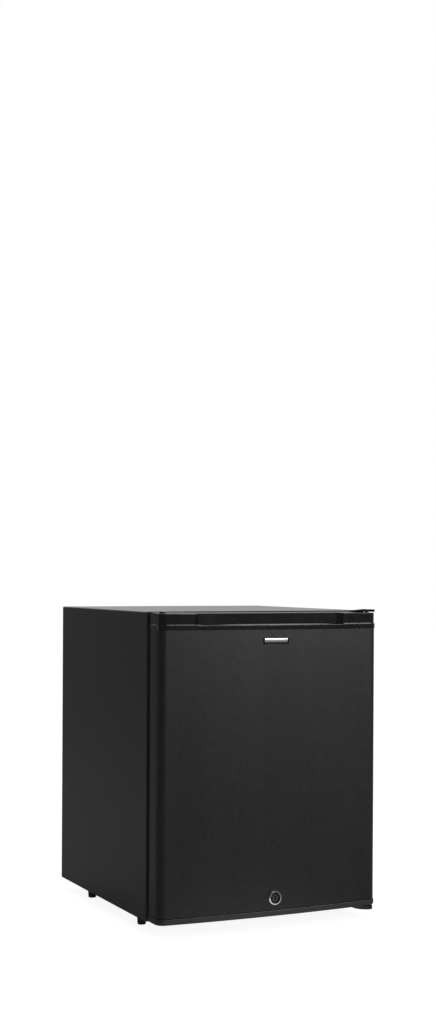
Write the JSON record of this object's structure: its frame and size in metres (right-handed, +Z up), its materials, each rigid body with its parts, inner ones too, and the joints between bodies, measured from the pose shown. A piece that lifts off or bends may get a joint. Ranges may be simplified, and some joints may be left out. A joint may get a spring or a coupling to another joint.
{
  "type": "minibar fridge",
  "caption": "Small absorption fridge with a bow-fronted, key-locked door on pin hinges, inside shelves and door racks.",
  "frame": {"origin": "on the floor, under the middle of the overall width and depth", "axes": "+X right, +Y back, +Z up; the door faces -Y and its hinges are on +X"},
  "size_m": [0.402, 0.4592, 0.5215],
  "materials": {
    "casing": "fine textured powder paint",
    "door_skin": "dark film with a fine upright brushed grain",
    "door_trim": "glossy moulding",
    "badge_frame": "glossy moulding",
    "badge_face": "brushed, blank",
    "bright_metal": "plated",
    "lock_metal": "turned",
    "gasket": "soft extrusion",
    "liner": "vacuum formed",
    "rack": "moulded",
    "foam": "rigid foam",
    "zinc_sheet": "zinc coated sheet",
    "hinge": "black paint",
    "steel": "zinc plated",
    "bush": "moulded",
    "foot": "moulded",
    "shelf_wire": "white coated wire",
    "cold_metal": "extruded",
    "unit_paint": "black paint",
    "jacket": "zinc coated wrap",
    "heater": "drawn tube",
    "lens": "frosted",
    "dial": "moulded",
    "control": "moulded",
    "drain": "moulded"
  },
  "bodies": {
    "cabinet": {"absorber_coil": "unit_paint", "absorber_vessel": "unit_paint", "base_pan": "zinc_sheet", "boiler_jacket": "jacket", "boiler_tube": "unit_paint", "cable_gland": "control", "condenser_fins": "cold_metal", "condenser_tube": "unit_paint", "control_box": "control", "control_box_cover": "control", "control_housing": "liner", "drain_tube": "drain", "drip_dish": "drain", "drip_tray": "liner", "evaporator_fins": "cold_metal", "evaporator_tube": "unit_paint", "foot_front_left": "foot", "foot_front_right": "foot", "foot_rear_left": "foot", "foot_rear_right": "foot", "front_frame": "casing", "gas_return_tube": "unit_paint", "heater_cartridge": "heater", "inner_liner": "liner", "insulation_foam": "foam", "keeper_screws": "steel", "lamp_lens": "lens", "lock_keeper": "zinc_sheet", "lower_hinge_bracket": "hinge", "lower_hinge_pin": "steel", "lower_hinge_screws": "steel", "outer_casing": "casing", "rear_panel": "zinc_sheet", "shelf_lower": "shelf_wire", "shelf_upper": "shelf_wire", "solution_tube": "unit_paint", "thermostat_body": "control", "unit_brackets": "zinc_sheet", "upper_hinge_bracket": "hinge", "upper_hinge_pin": "steel", "upper_hinge_screws": "steel"},
    "door": {"door_panel": "door_skin", "door_top_cap": "door_trim", "door_bottom_cap": "door_trim", "hinge_stopper": "door_trim", "door_foam": "foam", "door_liner": "liner", "door_gasket": "gasket", "bottle_rack_lower": "rack", "bottle_rack_upper": "rack", "badge_plate": "badge_frame", "badge_inlay": "badge_face", "lock_bezel": "bright_metal", "lock_body": "lock_metal", "lock_nut": "lock_metal", "upper_hinge_bush": "bush", "lower_hinge_bush": "bush"},
    "lock": {"lock_plug": "lock_metal", "lock_cam": "lock_metal", "cam_screw": "lock_metal"},
    "thermostat": {"thermostat_dial": "dial"}
  },
  "joints": [
    {"name": "door_hinge", "type": "hinge", "parent": "cabinet", "child": "door", "pos_m": [0.19, -0.20045, 0], "axis": [0, 0, 1], "range_deg": [0, 120]},
    {"name": "lock_turn", "type": "hinge", "parent": "door", "child": "lock", "pos_m": [0.0034, -0.22655, 0.053], "axis": [0, -1, 0], "range_deg": [0, 90]},
    {"name": "thermostat_turn", "type": "hinge", "parent": "cabinet", "child": "thermostat", "pos_m": [0.118, -0.09445, 0.4602], "axis": [0, -1, 0], "range_deg": [-135, 135]}
  ]
}
